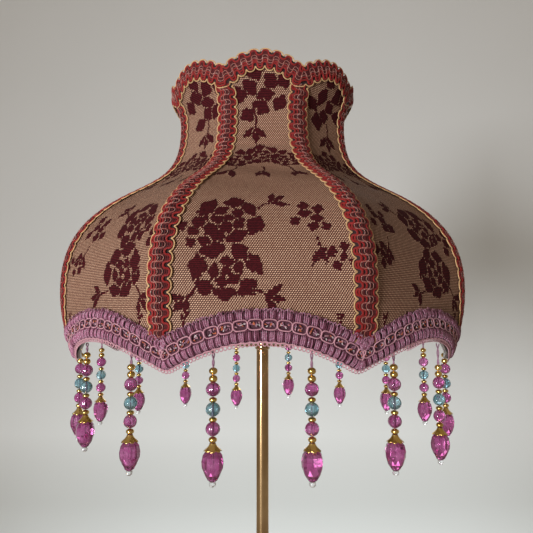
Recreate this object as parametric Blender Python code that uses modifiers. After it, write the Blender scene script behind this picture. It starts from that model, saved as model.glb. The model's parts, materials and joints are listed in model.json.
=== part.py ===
"""Table lamp with a slim brass stem and a fabric bell shade, hung with a fringe of bead drops.

The shade has eight panels. Its ribs, braids, lining and drops are all placed by one surface:
shade_point(azimuth, height, offset). Azimuth 0 faces the front (-Y) and grows towards +X.
The origin is the centre of the foot on the table, +Z up. Sizes below are in millimetres.
"""

import math

import bmesh
import bpy
import numpy as np
from mathutils import Matrix, Vector

MM = 0.001
GAP = 0.3  # between pieces that touch

# ---- driving dimensions -------------------------------------------------------------------------
PANELS = 8
PANEL_ANGLE = 2 * math.pi / PANELS
DROPS_PER_PANEL = 2
COLUMNS = 6  # facets across a panel, shared by the sheets and the rings
GIMP_COLUMNS = 8

WIRE_R = 1.5
# The rib wire's centre line: radius, height, lean out from straight down in degrees, and the
# pull of that lean on the curve as a share of the span.
RIB_STATIONS = [
    (70.0, 471.0, 0, 0.35),  # crown
    (64.5, 440.0, 0, 0.50),  # waist
    (104.0, 384.0, 60, 0.42),  # shoulder
    (148.5, 317.0, 0, 0.40),  # belly
    (134.0, 261.0, -24, 0.35),  # hem
]
CROWN_VALLEY_Z = 469.0  # the crown wire at a rib
CROWN_ARCH = 9.5  # how much higher it is in the middle of a panel
HEM_POINT_Z = 268.6  # the hem wire at a rib
HEM_ARCH = 16.0
PANEL_T = 1.0
PANEL_OFFSET = WIRE_R + 2 * GAP + PANEL_T / 2  # middle of the fabric, out from the wire's centre
LINING_T = 0.8
LINING_OFFSET = -(WIRE_R + 2.5 * GAP + LINING_T / 2)
BRAID_T = 2.0
BRAID_W = 13.5
BRAID_OFFSET = PANEL_OFFSET + PANEL_T / 2 + 0.5 + BRAID_T / 2
CROWN_BRAID_H = 12.0
CROWN_BRAID_OVER = 1.8  # how far it stands above the crown wire
GIMP_T = 1.8
GIMP_H = 20.5
GIMP_OVER = 2.6  # how far it hangs below the hem wire
GIMP_OFFSET = PANEL_OFFSET + PANEL_T / 2 + 1.6 + GIMP_T / 2
BAND_TOP = GIMP_H - GIMP_OVER + 1.4  # where a rib's braid starts, above the hem wire
BAND_DROP = CROWN_BRAID_H - CROWN_BRAID_OVER + 1.4  # where it ends, below the crown wire
ROW_Z = [287.9, 308, 329, 348, 362, 373, 383.5, 394, 405, 420, 439, 457.4]  # the shared rows, at a rib
LEVELS = len(ROW_Z) + 1
SEAM = 0.6  # from a panel's edge to the rib's middle

STEM_R = 4.75
STEM_BORE_R = 3.4
STEM_BOTTOM_Z = 13.5
STEM_TOP_Z = 283.0
SEAT_R = 6.0  # the pressed ring under the harp's saddle
FOOT_R = 75.0
FOOT_TOP_Z = 50.0
FELT_H = 2.0
LEAD_R = 2.2
LEAD_Z = 7.6
SADDLE_Z = 273.0
SADDLE_T = 1.6
EAR_X = 28.0
SOCKET_Z = 275.2
KNOB_Z = 303.0
HUB_Z = 446.3
HUB_H = 2.2
DROP_R = 137.6  # radius of the ring that the drops hang on
DROP_SWAY = 0.5  # gap from the hem braid to the top of a drop's thread

BRASS = ("brass", (0.72, 0.50, 0.24), 0.22, 1.0)
STEEL = ("steel", (0.55, 0.55, 0.56), 0.4, 1.0)
IRON = ("cast_iron", (0.08, 0.08, 0.085), 0.7, 0.6)
ALUMINIUM = ("aluminium", (0.75, 0.75, 0.76), 0.3, 1.0)
FELT = ("felt", (0.06, 0.09, 0.06), 0.95, 0.0)
RUBBER = ("rubber", (0.03, 0.03, 0.03), 0.6, 0.0)
CABLE = ("cable", (0.55, 0.42, 0.25), 0.5, 0.0)
PHENOLIC = ("phenolic", (0.05, 0.035, 0.03), 0.45, 0.0)
CARD = ("card", (0.62, 0.55, 0.42), 0.9, 0.0)
GLASS = ("glass", (0.93, 0.90, 0.84), 0.1, 0.0)
LACE = ("lace", (0.48, 0.31, 0.20), 0.8, 0.0)
LINING = ("lining", (0.80, 0.72, 0.58), 0.85, 0.0)
RED_BRAID = ("red_braid", (0.34, 0.04, 0.05), 0.8, 0.0)
MAUVE_GIMP = ("mauve_gimp", (0.45, 0.19, 0.30), 0.75, 0.0)
BEADS = ("beads", (0.55, 0.08, 0.38), 0.1, 0.0)


# ---- helpers ------------------------------------------------------------------------------------
def clear_scene():
    for obj in list(bpy.data.objects):
        bpy.data.objects.remove(obj)


def collection(name, hidden=False):
    made = bpy.data.collections.new(name)
    bpy.context.scene.collection.children.link(made)
    made.hide_render = hidden
    return made


def material(spec):
    name, colour, roughness, metallic = spec
    found = bpy.data.materials.get(name)
    if found:
        return found
    made = bpy.data.materials.new(name)
    made.use_nodes = True
    shader = made.node_tree.nodes["Principled BSDF"]
    shader.inputs["Base Color"].default_value = (*colour, 1.0)
    shader.inputs["Roughness"].default_value = roughness
    shader.inputs["Metallic"].default_value = metallic
    return made


def add(name, mesh, spec, group, parent=None):
    """Links a mesh as a named part."""
    mesh.shade_smooth()
    mesh.set_sharp_from_angle(angle=math.radians(40))
    obj = bpy.data.objects.new(name, mesh)
    obj.data.materials.append(material(spec))
    group.objects.link(obj)
    obj.parent = parent
    return obj


def joint_axis(name, place, group):
    """An empty on a joint's axis, which carries the moving piece."""
    empty = bpy.data.objects.new(name, None)
    empty.location = Vector(place) * MM
    empty.empty_display_size = 0.01
    group.objects.link(empty)
    return empty


def turned(name, profile, spec, group, steps=16, hollow=False, parent=None):
    """A turned piece. The profile is (radius, height) in mm, down the outer side and back up any bore."""
    mesh = bpy.data.meshes.new(name)
    count = len(profile)
    edges = [(i, i + 1) for i in range(count - 1)]
    if hollow:
        edges.append((count - 1, 0))
    mesh.from_pydata([(r * MM, 0, z * MM) for r, z in profile], edges, [])
    obj = add(name, mesh, spec, group, parent)
    screw = obj.modifiers.new("turn", "SCREW")
    screw.steps = screw.render_steps = steps
    screw.use_merge_vertices = True
    screw.merge_threshold = 0.00001
    screw.use_smooth_shade = True
    return obj


def tube(name, points, radius, group, cyclic=False, sides=8):
    """A wire through the points, in mm, as a closed mesh object."""
    data = bpy.data.curves.new(name, "CURVE")
    data.dimensions = "3D"
    data.bevel_depth = radius * MM
    data.bevel_resolution = (sides - 4) // 2
    data.use_fill_caps = not cyclic
    spline = data.splines.new("POLY")
    spline.points.add(len(points) - 1)
    for point, place in zip(spline.points, points):
        point.co = (*(Vector(place) * MM), 1.0)
    spline.use_cyclic_u = cyclic
    curve = bpy.data.objects.new(name + "_curve", data)
    group.objects.link(curve)
    bpy.context.view_layer.update()
    mesh = bpy.data.meshes.new_from_object(curve.evaluated_get(bpy.context.evaluated_depsgraph_get()))
    bpy.data.objects.remove(curve)
    weld(mesh)
    obj = bpy.data.objects.new(name, mesh)
    group.objects.link(obj)
    return obj


def weld(mesh):
    shape = bmesh.new()
    shape.from_mesh(mesh)
    bmesh.ops.remove_doubles(shape, verts=shape.verts, dist=0.00001)
    bmesh.ops.recalc_face_normals(shape, faces=shape.faces)
    shape.to_mesh(mesh)
    shape.free()


def cylinder(name, radius, low, high, group, vertices=16, place=(0, 0)):
    """A closed cylinder along Z between two heights, in mm."""
    shape = bmesh.new()
    bmesh.ops.create_cone(shape, cap_ends=True, segments=vertices, radius1=radius * MM,
                          radius2=radius * MM, depth=(high - low) * MM)
    middle = Vector((place[0], place[1], (low + high) / 2)) * MM
    bmesh.ops.translate(shape, verts=shape.verts, vec=middle)
    mesh = bpy.data.meshes.new(name)
    shape.to_mesh(mesh)
    shape.free()
    obj = bpy.data.objects.new(name, mesh)
    group.objects.link(obj)
    return obj


def boolean(target, other, operation):
    modifier = target.modifiers.new(operation.lower(), "BOOLEAN")
    modifier.operation = operation
    modifier.object = other
    modifier.solver = "EXACT"


def joined(name, pieces, spec, group, parent=None):
    """One solid from several closed meshes that overlap."""
    base = pieces[0]
    for other in pieces[1:]:
        boolean(base, other, "UNION")
    bpy.context.view_layer.update()
    mesh = bpy.data.meshes.new_from_object(base.evaluated_get(bpy.context.evaluated_depsgraph_get()))
    mesh.transform(base.matrix_world)
    for piece in pieces:
        bpy.data.objects.remove(piece)
    mesh.name = name
    mesh.materials.clear()
    return add(name, mesh, spec, group, parent)


# ---- the shade's surface ------------------------------------------------------------------------
def catmull_rom(points, per_span=12):
    """A smooth line through the points."""
    p = np.array([points[0], *points, points[-1]], float)
    line = []
    for a, b, c, d in zip(p[:-3], p[1:-2], p[2:-1], p[3:]):
        for t in np.linspace(0, 1, per_span, endpoint=False):
            line.append(0.5 * (2 * b + (c - a) * t + (2 * a - 5 * b + 4 * c - d) * t * t
                               + (3 * b - a - 3 * c + d) * t ** 3))
    line.append(p[-2])
    return np.array(line)


def bell_line(stations, steps=40):
    """Bezier spans from station to station, each leaving and arriving along its station's lean."""
    line = []
    for (r0, z0, lean0, pull0), (r1, z1, lean1, pull1) in zip(stations, stations[1:]):
        span = math.hypot(r1 - r0, z1 - z0)
        start, end = np.array([r0, z0]), np.array([r1, z1])
        a, b = math.radians(lean0), math.radians(lean1)
        leave = start + pull0 * span * np.array([math.sin(a), -math.cos(a)])
        arrive = end - pull1 * span * np.array([math.sin(b), -math.cos(b)])
        for t in np.linspace(0, 1, steps, endpoint=False):
            s = 1 - t
            line.append(s ** 3 * start + 3 * t * s * s * leave + 3 * t * t * s * arrive + t ** 3 * end)
    return np.array([*line, end])


RIB_LINE = bell_line(RIB_STATIONS)[::-1]  # hem to crown, so that heights rise


def rib_radius(z):
    return float(np.interp(z, RIB_LINE[:, 1], RIB_LINE[:, 0]))


def smooth_step(x):
    x = min(1.0, max(0.0, x))
    return x * x * (3 - 2 * x)


def roundness(z):
    """1 where a panel's cross-section is an arc of a circle, as on the rings, and 0 where it is flat."""
    at_hem = 1 - smooth_step((z - 274) / 45)
    at_crown = smooth_step((z - 446) / 24)
    sag = 0.25 * math.exp(-((z - 362) / 26) ** 2)
    return max(at_hem, at_crown) - sag


def across(azimuth):
    """Where an azimuth lies on its panel: -1 and 1 at the ribs, 0 in the middle."""
    return (azimuth - PANEL_ANGLE * round(azimuth / PANEL_ANGLE)) / (PANEL_ANGLE / 2)


def surface(azimuth, z):
    """A point on the skin through the rib wires' centres, in mm."""
    phi = across(azimuth) * PANEL_ANGLE / 2
    b = roundness(z)
    flat = math.cos(PANEL_ANGLE / 2) / math.cos(phi)
    r = rib_radius(z) * (b + (1 - b) * flat)
    return Vector((r * math.sin(azimuth), -r * math.cos(azimuth), z))


def shade_point(azimuth, z, offset=0.0):
    """The skin's point moved out along its normal by the offset."""
    turn, rise = 0.02, 1.0
    along = surface(azimuth + turn, z) - surface(azimuth - turn, z)
    up = surface(azimuth, z + rise) - surface(azimuth, z - rise)
    return surface(azimuth, z) + along.cross(up).normalized() * offset


def hem_z(azimuth):
    return HEM_POINT_Z + HEM_ARCH * (1 - across(azimuth) ** 2)


def crown_z(azimuth):
    return CROWN_VALLEY_Z + CROWN_ARCH * (1 - across(azimuth) ** 2)


def row_height(row, azimuth):
    """The height of one of the shared rows. Sheets and wires all bend on them, so that they nest."""
    low = hem_z(azimuth) + BAND_TOP
    high = crown_z(azimuth) - BAND_DROP
    share = (ROW_Z[row] - ROW_Z[0]) / (ROW_Z[-1] - ROW_Z[0])
    return low + share * (high - low)


def level_height(level, azimuth, low, high):
    """The shared rows, with the piece's own ends below and above: low and high are past the wires."""
    if level == 0:
        return hem_z(azimuth) + low
    if level == LEVELS:
        return crown_z(azimuth) + high
    return row_height(level - 1, azimuth)


def column_azimuth(column, level):
    """The shared columns: on each rib, at both edges of its braid, and three between."""
    panel, step = divmod(column, COLUMNS)
    z = [HEM_POINT_Z, *ROW_Z, CROWN_VALLEY_Z][level]
    half = PANEL_ANGLE / 2
    edge = half - BRAID_W / 2 / rib_radius(z)
    return panel * PANEL_ANGLE + (-half, -edge, -0.4 * edge, 0.0, 0.4 * edge, edge)[step]


def skin(name, columns, rows, place, thickness, spec, group, parent, closed=False):
    """A sheet: a grid put in place by place(column, row), and given a thickness."""
    shape = bmesh.new()
    bmesh.ops.create_grid(shape, x_segments=columns, y_segments=rows, size=0.5)
    for vertex in shape.verts:
        column, row = round((vertex.co.x + 0.5) * columns), round((vertex.co.y + 0.5) * rows)
        vertex.co = place(column, row) * MM
    if closed:
        bmesh.ops.remove_doubles(shape, verts=shape.verts, dist=0.00002)
    mesh = bpy.data.meshes.new(name)
    shape.to_mesh(mesh)
    shape.free()
    obj = add(name, mesh, spec, group, parent)
    solid = obj.modifiers.new("thickness", "SOLIDIFY")
    solid.thickness = thickness * MM
    solid.offset = 0
    solid.use_even_offset = True
    return obj


# ---- foot and stem ------------------------------------------------------------------------------
def make_foot(group, cutters):
    turned("felt_pad", [(0, FELT_H), (FOOT_R - 2, FELT_H), (FOOT_R - 2, 0), (0, 0)], FELT, group, 28)
    low = FELT_H + GAP
    shell = turned("base_shell", [
        (8.5, FOOT_TOP_Z), (10.0, 49), (11.5, 45), (15, 38), (23, 30.5), (36, 25), (52, 21), (64, 18.5),
        (69, 18), (70.5, 15.5), (74, 14.2), (FOOT_R, 12.2), (FOOT_R, low),
        (FOOT_R - 1.6, low), (FOOT_R - 1.6, 12), (68.5, 14.2), (67.5, 16), (51.5, 19.2), (35.5, 23.2),
        (22, 28.6), (13.8, 36.4), (10.2, 44), (8.2, 47.5), (STEM_R + GAP, 47.8),
        (STEM_R + GAP, FOOT_TOP_Z),
    ], BRASS, group, 28, hollow=True)
    hole = cylinder("inlet_hole", 4.3, -6, 6, cutters, 12)
    hole.rotation_euler = (math.pi / 2, 0, 0)
    hole.location = Vector((0, FOOT_R - 1, LEAD_Z)) * MM
    boolean(shell, hole, "DIFFERENCE")
    weight = turned("base_weight", [
        (9, 29), (20, 25), (34, 20), (50, 16), (65.5, 14), (66.5, 12), (66.5, low + GAP),
        (21, low + GAP), (21, 18.6), (STEM_R + GAP, 18.6), (STEM_R + GAP, 29),
    ], IRON, group, 24, hollow=True)
    slot = cylinder("lead_slot", 3.4, 0, 60, cutters, 8)
    slot.rotation_euler = (-math.pi / 2, 0, 0)
    slot.location = Vector((0, 15, LEAD_Z)) * MM
    boolean(weight, slot, "DIFFERENCE")
    nut = turned("base_locknut", [(8.1, 18.3), (8.1, 14.2), (STEM_R + GAP, 14.2), (STEM_R + GAP, 18.3)],
                 STEEL, group, 6, hollow=True)
    bore = cylinder("nut_bore", STEM_R + GAP, 12, 20, cutters, 16)
    boolean(nut, bore, "DIFFERENCE")
    grommet = turned("cord_grommet", [
        (5.4, 3.2), (5.4, 1.5), (3.9, 1.2), (3.9, -2.8), (4.3, -3.4), (2.6, -3.4), (2.6, 3.2),
    ], RUBBER, group, 12, hollow=True)
    grommet.rotation_euler = (-math.pi / 2, 0, 0)
    grommet.location = Vector((0, FOOT_R - 1.1, LEAD_Z)) * MM


def make_stem(group):
    turned("base_collar", [
        (6.5, 72), (7.2, 71), (7.2, 69), (6.2, 68), (6.2, 64.5), (8.6, 62.5), (9.4, 60), (8.6, 57.5),
        (6.6, 55.5), (9.8, 53.6), (10.2, 51.6), (9.8, FOOT_TOP_Z + GAP),
        (STEM_R + GAP, FOOT_TOP_Z + GAP), (STEM_R + GAP, 72),
    ], BRASS, group, 20, hollow=True)
    seat = SADDLE_Z - SADDLE_T / 2 - GAP  # a pressed seat that the harp's saddle rests on
    turned("stem_tube", [
        (STEM_R, STEM_TOP_Z), (STEM_R, seat), (SEAT_R, seat), (SEAT_R, seat - 0.9), (STEM_R, seat - 1.9),
        (STEM_R, STEM_BOTTOM_Z), (STEM_BORE_R, STEM_BOTTOM_Z), (STEM_BORE_R, STEM_TOP_Z),
    ], BRASS, group, 20, hollow=True)


def make_lead(group):
    """The lead runs from the inlet through the slot under the weight, up the stem to the socket's cap."""
    bend = 8.0
    points = [(0, y, LEAD_Z) for y in (FOOT_R - 4.0, 60, 45, 30, 18)]
    for step in range(7):
        turn = math.pi / 2 * step / 6
        points.append((0, bend * (1 - math.sin(turn)), LEAD_Z + bend * (1 - math.cos(turn))))
    points += [(0, 0, z) for z in (40, 100, 180, 240, STEM_TOP_Z + 2)]
    lead = tube("internal_lead", points, LEAD_R, group, sides=8)
    lead.data.materials.append(material(CABLE))


# ---- lampholder and bulb ------------------------------------------------------------------------
def make_lampholder(group):
    z = SOCKET_Z
    turned("socket_cap", [
        (7.8, z + 6), (11, z + 8), (15.4, z + 11.5), (16.4, z + 15.5), (15.5, z + 15.5), (14.6, z + 12.2),
        (10.4, z + 9), (STEM_R + GAP, z + 9), (STEM_R + GAP, z), (7.8, z),
    ][::-1], BRASS, group, 20, hollow=True)
    shell = turned("socket_shell", [
        (16.9, z + 62), (16.9, z + 60.5), (16.2, z + 60), (16.2, z + 18), (16.6, z + 17.2),
        (16.6, z + 15.5 + GAP), (15.6, z + 15.5 + GAP), (15.6, z + 62),
    ], BRASS, group, 20, hollow=True)
    liner = turned("socket_liner", [(15.3, z + 61), (15.3, z + 16.2), (14.7, z + 16.2), (14.7, z + 61)],
                   CARD, group, 20, hollow=True)
    body = turned("socket_body", [
        (0, z + 36), (14.3, z + 36), (14.4, z + 35), (14.4, z + 17), (13, z + 16.2), (0, z + 16.2),
    ], PHENOLIC, group, 20)
    return shell, liner, body


def cut_shaft_hole(targets, cutters):
    hole = cylinder("shaft_hole", 2.3, 0, 14, cutters, 10)
    hole.rotation_euler = (math.pi / 2, 0, 0)
    hole.location = Vector((0, -7.5, KNOB_Z)) * MM
    for target in targets:
        boolean(target, hole, "DIFFERENCE")


def make_contacts(group):
    z = SOCKET_Z
    turned("screw_shell", [
        (0, z + 37), (13.4, z + 37), (13.4, z + 59), (14.1, z + 59), (14.1, z + 36 + GAP),
        (0, z + 36 + GAP),
    ], ALUMINIUM, group, 20)
    for side, name in ((-1, "terminal_screw_neutral"), (1, "terminal_screw_live")):
        screw = turned(name, [(0, 1.6), (2.6, 1.6), (2.8, 0.4), (1.3, 0), (1.3, -1.4), (0, -1.4)],
                       BRASS if side > 0 else STEEL, group, 10)
        screw.location = Vector((side * 9.0, 0, z + 14.2)) * MM


def make_bulb(group):
    z = SOCKET_Z + 38
    cap = [(0, z + 24), (12.6, z + 24), (13.0, z + 22)]
    for turn in range(5):
        top = z + 20.5 - turn * 3.6
        cap += [(13.05, top), (12.0, top - 1.8)]
    cap += [(12.2, z + 3), (7, z + 0.8), (3.4, z - 0.6), (0, z - 0.6)]
    turned("bulb_cap", cap, ALUMINIUM, group, 16)
    outer = [
        (0, z + 106), (11, z + 104), (20.5, z + 97.5), (26.8, z + 87), (28.8, z + 76), (27.6, z + 66),
        (23, z + 54), (17.5, z + 43), (14.6, z + 34), (13.6, z + 24 + GAP),
    ]
    wall = 1.0
    inner = [(r - wall, h) for r, h in outer[:0:-1]]
    inner += [(0, z + 106 - wall)]
    turned("bulb_glass", outer + inner, GLASS, group, 16)


def make_knob(group):
    axis = joint_axis("knob_axis", (0, 0, KNOB_Z), group)
    knob = turned("switch_knob", [
        (0, 32.5), (4.2, 32.5), (5.2, 31), (5.2, 22), (4.4, 20.6), (1.9, 20.0), (1.9, 8.2), (0, 8.2),
    ], PHENOLIC, group, 12, parent=axis)
    knob.rotation_euler = (math.pi / 2, 0, 0)


# ---- harp and finial ----------------------------------------------------------------------------
def make_saddle(group, cutters):
    """A strip under the lampholder with two ears bent up, and a pin on each for the harp's legs."""
    half_y = 6.0
    rows = [(-EAR_X, SADDLE_Z + 11), (-EAR_X, SADDLE_Z + 3), (-EAR_X + 3, SADDLE_Z),
            (EAR_X - 3, SADDLE_Z), (EAR_X, SADDLE_Z + 3), (EAR_X, SADDLE_Z + 11)]
    shape = bmesh.new()
    lines = [[shape.verts.new((x * MM, y * MM, (z + SADDLE_T / 2) * MM)) for x, z in rows]
             for y in (-half_y, half_y)]
    for i in range(len(rows) - 1):
        shape.faces.new((lines[0][i], lines[0][i + 1], lines[1][i + 1], lines[1][i]))
    mesh = bpy.data.meshes.new("strip")
    shape.to_mesh(mesh)
    shape.free()
    strip = bpy.data.objects.new("strip", mesh)
    group.objects.link(strip)
    solid = strip.modifiers.new("thickness", "SOLIDIFY")
    solid.thickness = SADDLE_T * MM
    solid.offset = 0
    solid.use_even_offset = True
    pins = [cylinder(f"pin_{side}", 1.7, SADDLE_Z + 9, SADDLE_Z + 18, group, 10, (side * EAR_X, 0))
            for side in (-1, 1)]
    saddle = joined("harp_saddle", [strip, *pins], BRASS, group)
    bore = cylinder("saddle_bore", STEM_R + GAP, SADDLE_Z - 4, SADDLE_Z + 6, cutters, 16)
    boolean(saddle, bore, "DIFFERENCE")


def make_harp(group):
    low = SADDLE_Z + 18 + GAP
    side = [
        (EAR_X, low), (EAR_X, low + 12), (EAR_X, low + 21), (32, low + 31), (42, low + 46),
        (49.5, low + 64), (51, low + 83), (47.5, low + 102), (40, low + 119), (30, low + 133),
        (17, low + 143), (6, low + 147),
    ]
    right = [tuple(p) for p in catmull_rom(side, 2)]
    points = [(x, 0, z) for x, z in right] + [(-x, 0, z) for x, z in right[::-1]]
    wire = tube("harp_wire", points, 2.0, group, sides=8)
    top = low + 147.5
    shoulder = cylinder("shoulder", 6.5, top - 1.5, HUB_Z - GAP, group, 16)
    stud = cylinder("stud", 3.0, top, HUB_Z + 13, group, 12)
    joined("harp", [wire, shoulder, stud], BRASS, group)
    for side, name in ((-1, "harp_sleeve_left"), (1, "harp_sleeve_right")):
        axis = joint_axis(name + "_axis", (side * EAR_X, 0, SADDLE_Z + 12 + GAP), group)
        turned(name, [(4.0, 14), (4.4, 13), (4.4, 1), (4.0, 0), (2.6, 0), (2.6, 14)], BRASS, group, 14,
               hollow=True, parent=axis)


def make_finial(group):
    axis = joint_axis("finial_axis", (0, 0, HUB_Z + HUB_H + GAP), group)
    turned("finial", [
        (0, 31), (1.8, 30.4), (2.4, 28.8), (1.6, 27), (4.6, 25), (7.2, 21.5), (7.8, 17.5), (6.4, 13.5),
        (3.9, 10.5), (4.4, 8.5), (7.4, 5.2), (8.2, 2.2), (7.8, 0), (3.4, 0), (3.4, 13.5), (0, 13.5),
    ], BRASS, group, 16, parent=axis)


# ---- shade --------------------------------------------------------------------------------------
def make_frame(group, parent):
    """Eight ribs between a crown wire and a hem wire, welded into one."""
    def ring(name, height, level):
        azimuths = [column_azimuth(column, level) for column in range(PANELS * COLUMNS)]
        return tube(name, [surface(a, height(a)) for a in azimuths], WIRE_R, group, cyclic=True, sides=6)

    pieces = [ring("crown_wire", crown_z, LEVELS), ring("hem_wire", hem_z, 0)]
    for rib in range(PANELS):
        azimuth = (rib + 0.5) * PANEL_ANGLE
        points = [surface(azimuth, level_height(level, azimuth, 0, 0)) for level in range(LEVELS + 1)]
        pieces.append(tube(f"rib_wire_{rib}", points, WIRE_R * 0.95, group, sides=6))
    joined("wire_frame", pieces, STEEL, group, parent)


def make_spider(group, parent, cutters):
    """The fitter: a washer that sits on the harp, with four arms out to the crown wire at the ribs."""
    hub = cylinder("hub", 11, HUB_Z, HUB_Z + HUB_H, group, 20)
    arms = []
    for arm in range(4):
        azimuth = PANEL_ANGLE * (2 * arm + 0.5)
        out = Vector((math.sin(azimuth), -math.cos(azimuth), 0))
        line = [
            (8, HUB_Z + 1.1), (16, HUB_Z + 1.4), (32, HUB_Z + 4.6), (48, HUB_Z + 11), (60, HUB_Z + 17.5),
            (66.7, CROWN_VALLEY_Z + 0.3),
        ]
        points = [out * r + Vector((0, 0, z)) for r, z in line]
        arms.append(tube(f"arm_{arm}", points, 1.3, group, sides=6))
    spider = joined("spider_fitter", [hub, *arms], STEEL, group, parent)
    bore = cylinder("hub_bore", 3.5, HUB_Z - 5, HUB_Z + 8, cutters, 16)
    boolean(spider, bore, "DIFFERENCE")


def make_panels(group, parent):
    for panel in range(PANELS):
        def place(column, level, panel=panel):
            seam = column_azimuth(panel * COLUMNS + column, level)
            z = level_height(level, seam, -0.5, 0.5)
            inset = {0: 1, COLUMNS: -1}.get(column, 0) * SEAM / rib_radius(z)
            return shade_point(seam + inset, z, PANEL_OFFSET)

        skin(f"panel_{panel + 1}", COLUMNS, LEVELS, place, PANEL_T, LACE, group, parent)


def make_lining(group, parent):
    def place(column, level):
        azimuth = column_azimuth(column, level)
        return shade_point(azimuth, level_height(level, azimuth, 2.8, -3.6), LINING_OFFSET)

    skin("lining", COLUMNS * PANELS, LEVELS, place, LINING_T, LINING, group, parent, closed=True)


def make_rib_braids(group, parent):
    """A braid lies along each rib and folds over it."""
    for rib in range(PANELS):
        def place(side, row, rib=rib):
            azimuth = column_azimuth((rib + 1) * COLUMNS + side - 1, row + 1)
            return shade_point(azimuth, row_height(row, azimuth), BRAID_OFFSET)

        skin(f"rib_braid_{rib + 1}", 2, len(ROW_Z) - 1, place, BRAID_T, RED_BRAID, group, parent)


def make_bands(group, parent):
    def crown(column, row):
        azimuth = column_azimuth(column, LEVELS)
        z = crown_z(azimuth) + CROWN_BRAID_OVER - CROWN_BRAID_H * (1 - row)
        return shade_point(azimuth, z, BRAID_OFFSET)

    def hem(column, row):
        azimuth = PANEL_ANGLE * column / GIMP_COLUMNS
        return shade_point(azimuth, hem_z(azimuth) - GIMP_OVER + GIMP_H * row, GIMP_OFFSET)

    skin("crown_braid", COLUMNS * PANELS, 1, crown, BRAID_T, RED_BRAID, group, parent, closed=True)
    skin("hem_gimp", GIMP_COLUMNS * PANELS, 1, hem, GIMP_T, MAUVE_GIMP, group, parent, closed=True)


# ---- bead drops ---------------------------------------------------------------------------------
THREAD_R = 0.6
THREAD_L = 8.2
THREAD_MORE = {2: 4.0, 7: -5.5, 8: 5.5, 13: -4.0}  # sewn on by hand, and these hang out of line
GOLD_R, ROUND_R, CAP_R, OVAL_R, TIP_R = 2.3, 4.0, 4.5, 6.0, 1.9


def drop_profile(thread):
    """A drop from its thread down: gold spacers, three round beads, a cap, an oval and a clear tip."""
    line = [(0, 0), (THREAD_R, 0), (THREAD_R, -thread)]
    z = -thread

    def bead(radius, height, waist=1.1):
        nonlocal z
        if radius > 3:
            line.extend([(radius * 0.93, z - height * 0.3), (radius * 0.93, z - height * 0.7)])
        else:
            line.append((radius, z - height / 2))
        z -= height
        line.append((waist, z))

    for radius, height in ((GOLD_R, 3.8), (GOLD_R, 3.8), (ROUND_R, 7.5), (2.1, 3.0), (ROUND_R, 7.5),
                           (2.1, 3.0), (ROUND_R, 7.5), (2.2, 3.6)):
        bead(radius, height)
    line += [(CAP_R, z - 3.4), (OVAL_R, z - 9.4), (OVAL_R * 0.8, z - 14.6), (1.0, z - 19.2)]
    line += [(TIP_R, z - 20.8), (0, z - 22.4)]
    return line


def make_drops(group, shade_axis):
    count = PANELS * DROPS_PER_PANEL
    for drop in range(count):
        azimuth = 2 * math.pi * (drop + 0.5) / count
        top = hem_z(azimuth) - GIMP_OVER - DROP_SWAY - 0.3
        place = (DROP_R * math.sin(azimuth), -DROP_R * math.cos(azimuth), top)
        axis = joint_axis(f"drop_axis_{drop + 1:02d}", place, group)
        axis.rotation_euler = (0, 0, azimuth)
        axis.parent = shade_axis
        axis.matrix_parent_inverse = Matrix.Identity(4)
        profile = drop_profile(THREAD_L + THREAD_MORE.get(drop, 0))
        turned(f"bead_drop_{drop + 1:02d}", profile, BEADS, group, 6, parent=axis)


def main():
    clear_scene()
    lamp = collection("beaded_fabric_table_lamp")
    cutters = collection("cutters", hidden=True)
    make_foot(lamp, cutters)
    make_stem(lamp)
    make_lead(lamp)
    bored = make_lampholder(lamp)
    cut_shaft_hole(bored, cutters)
    make_contacts(lamp)
    make_bulb(lamp)
    make_knob(lamp)
    make_saddle(lamp, cutters)
    make_harp(lamp)
    make_finial(lamp)
    shade_axis = joint_axis("shade_axis", (0, 0, 0), lamp)
    make_frame(lamp, shade_axis)
    make_spider(lamp, shade_axis, cutters)
    make_panels(lamp, shade_axis)
    make_lining(lamp, shade_axis)
    make_rib_braids(lamp, shade_axis)
    make_bands(lamp, shade_axis)
    make_drops(lamp, shade_axis)
    for obj in cutters.objects:
        obj.hide_render = True
        obj.display_type = "WIRE"


main()
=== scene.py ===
"""Looks of a beaded fabric table lamp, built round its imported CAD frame.

Sizes are in mm unless a name or comment says otherwise.
"""
import json
import math
import random

import bpy
import numpy as np
from mathutils import Matrix, Vector


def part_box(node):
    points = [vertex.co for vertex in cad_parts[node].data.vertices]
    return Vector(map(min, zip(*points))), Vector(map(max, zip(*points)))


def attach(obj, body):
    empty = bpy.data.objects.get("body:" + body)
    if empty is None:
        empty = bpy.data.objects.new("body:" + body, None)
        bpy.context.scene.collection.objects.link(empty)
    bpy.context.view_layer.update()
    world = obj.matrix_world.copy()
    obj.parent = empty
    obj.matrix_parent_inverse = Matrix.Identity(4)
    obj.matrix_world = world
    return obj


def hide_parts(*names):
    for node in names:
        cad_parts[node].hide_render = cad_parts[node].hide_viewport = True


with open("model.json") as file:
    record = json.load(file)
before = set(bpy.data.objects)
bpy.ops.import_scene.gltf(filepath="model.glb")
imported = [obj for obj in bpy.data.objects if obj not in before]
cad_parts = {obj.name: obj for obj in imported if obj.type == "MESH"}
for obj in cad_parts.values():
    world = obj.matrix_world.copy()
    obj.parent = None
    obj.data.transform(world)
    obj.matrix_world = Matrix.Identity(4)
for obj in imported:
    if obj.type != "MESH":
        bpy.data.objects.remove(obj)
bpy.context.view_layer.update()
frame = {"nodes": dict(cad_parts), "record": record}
MM = 0.001
TAU = 2 * math.pi


def node_box(name):
    """A CAD node's lowest and highest corner, in mm."""
    low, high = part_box(name)
    return np.array(low) / MM, np.array(high) / MM


# ---- the shade's skin, the same as the CAD solids' ----------------------------------------------
PANELS = 8
HALF = math.pi / PANELS
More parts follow.
